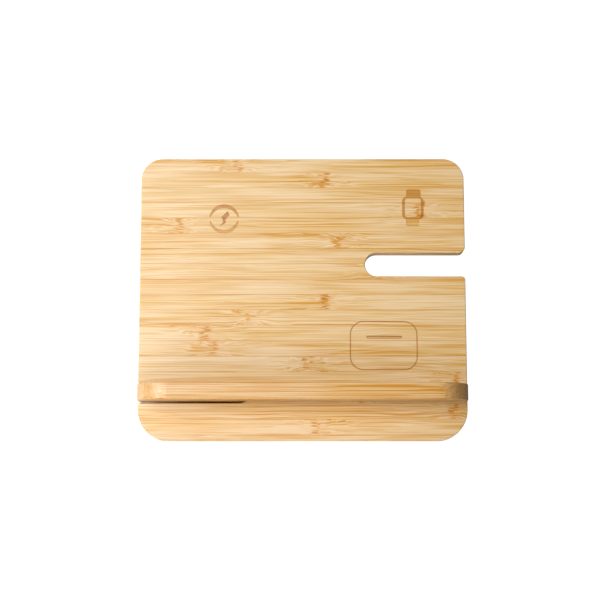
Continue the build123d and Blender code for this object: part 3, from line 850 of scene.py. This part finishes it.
# Drivers: four legs on each side, each with a foot and the rise into the package
DRIVER_X = -59.74
LEG_PITCH = 1.27
FIRST_LEG = -1.9
items = [((DRIVER_X, up, -BOARD_BACK - 0.49), (2.6, 4.98, 0.8), 0.08, 0) for up in rows]
for up in rows:
    for i in range(4):
        leg = up + FIRST_LEG + LEG_PITCH * i
        foot = (DRIVER_X, leg, -BOARD_BACK - 0.1)
        items += sides(foot, (1.69, 0, 0), (0.6, 0.42, 0.18), 0.04, 1)
        riser = (DRIVER_X, leg, -BOARD_BACK - 0.3)
        items += sides(riser, (1.4, 0, 0), (0.3, 0.42, 0.5), 0.04, 1)
blocks("driver_packages", "driver_chips", items, ("black_moulding", "tin"))

# Capacitors: four to a row, with metal over both ends
CAPACITOR_X = -50.9
HALF_APART_X, HALF_APART_UP = 1.9, 1.1
items = []
for up in rows:
    for x in (CAPACITOR_X - HALF_APART_X, CAPACITOR_X + HALF_APART_X):
        for rise in (up - HALF_APART_UP, up + HALF_APART_UP):
            centre = (x, rise, -BOARD_BACK - 0.8)
            items.append((centre, (2.3, 1.5, 1.5), 0.08, 0))
            items += sides(centre, (1.3, 0, 0), (0.56, 1.58, 1.58), 0.12, 1)
blocks("capacitor_blocks", "resonance_capacitors", items, ("ceramic", "tin"))

# Inlet: twelve contacts on each side of the tongue
CONTACT_X = -97.0
CONTACT_PITCH = 0.5
items = []
for i in range(12):
    centre = (CONTACT_X, BOARD_UP + (i - 5.5) * CONTACT_PITCH, -PORT_BACK)
    items += sides(centre, (0, 0, 0.355), (3.6, 0.27, 0.03), 0.008, 0)
blocks("usb_c_contacts", None, items, ("gold",))


# Floor, light and world. The camera sees a white floor and a white sky. Other rays meet a floor
# that is warm on the left and dim on the right, with a glowing strip in front of the stand that
# lights the underside of its ledge. They meet a sky that dims towards the right.
FLOOR_HALF = 12.0  # in metres
FLOOR_WARM = (0.9, 0.85, 0.76, 1)
FLOOR_DIM = (0.14, 0.11, 0.07, 1)
FLOOR_DIMS = (20.0, 180.0)  # between these, along X in millimetres
STRIP_NEAR = (-45.0, -80.0)  # the strip glows fully from the second, along Y in millimetres
STRIP_FAR = (-300.0, -180.0)  # up to the second
STRIP_GLOW = 0.85
SEEN_GLOW = 1.3
SEEN_SHADOW = 0.2  # share of the floor that shows shadows
SKY_DIMS = (-0.3, 0.8, 0.13, 0.005)  # between two directions along X, from a strength to another
WHITE = (1, 1, 1, 1)


def plain_light(name, place, target, size, power, tint):
    """Rectangular light, with its place, target and size in metres and its power in watts."""
    data = bpy.data.lights.new(name, "AREA")
    data.shape = "RECTANGLE"
    data.size, data.size_y = size
    data.energy = power
    data.color = tint
    light = added(name, data)
    light.location = place
    light.rotation_euler = (Vector(target) - Vector(place)).to_track_quat("-Z", "Y").to_euler()


def pale_floor():
    s = Shader(bpy.data.materials.new("pale_floor"))
    seen = s.add("ShaderNodeLightPath", {}).outputs["Is Camera Ray"]
    x, y, _ = s.parts(s.millimetres())
    shade = s.mix(s.step(x, *FLOOR_DIMS), FLOOR_WARM, FLOOR_DIM)
    in_front = s.times(s.step(y, *STRIP_NEAR), s.step(y, *STRIP_FAR), STRIP_GLOW)
    diffuse = s.add("ShaderNodeBsdfDiffuse", {"Color": shade}).outputs[0]
    glow = s.add("ShaderNodeEmission", {"Color": WHITE, "Strength": SEEN_GLOW}).outputs[0]
    lit = s.mix_shader(SEEN_SHADOW, glow, diffuse)
    bounce = s.add("ShaderNodeEmission", {"Color": shade, "Strength": in_front}).outputs[0]
    unseen = s.add("ShaderNodeAddShader", {0: diffuse, 1: bounce}).outputs[0]
    s.add("ShaderNodeOutputMaterial", {"Surface": s.mix_shader(seen, unseen, lit)})
    return s.owner


def plain_sky():
    s = Shader(bpy.data.worlds.new("studio"))
    seen = s.add("ShaderNodeLightPath", {}).outputs["Is Camera Ray"]
    towards = s.parts(s.add("ShaderNodeTexCoord", {}).outputs["Generated"])
    fade = s.step(towards[0], *SKY_DIMS, shape="LINEAR")
    soft = s.add("ShaderNodeBackground", {"Color": WHITE, "Strength": fade}).outputs[0]
    white = s.add("ShaderNodeBackground", {"Color": WHITE, "Strength": 1.0}).outputs[0]
    s.add("ShaderNodeOutputWorld", {"Surface": s.mix_shader(seen, soft, white)})
    return s.owner


floor_mesh = bpy.data.meshes.new("floor")
corners = [(x * FLOOR_HALF, y * FLOOR_HALF, 0) for x, y in ((-1, -1), (1, -1), (1, 1), (-1, 1))]
floor_mesh.from_pydata(corners, [], [(0, 1, 2, 3)])
floor_mesh.materials.append(pale_floor())
floor = added("floor", floor_mesh)
scene.world = plain_sky()

plain_light("key", (-0.65, -1.0, 0.88), (0, 0, 0.07), (1.25, 1.0), 17.4, (0.96, 0.99, 1.02))
plain_light("front_fill", (-0.9, -1.25, 0.69), (0, 0, 0.05), (1.25, 0.38), 9.3, (1.0, 0.93, 0.85))
plain_light("rear_fill", (-0.5, 0.9, 0.7), (0, 0, 0.07), (1.0, 0.8), 11.0, (1.0, 1.0, 1.0))
plain_light("side_fill", (1.0, 0.6, 0.4), (0, 0, 0.07), (0.8, 0.6), 2.4, (1.0, 1.0, 1.0))
scene.view_settings.view_transform = "Standard"
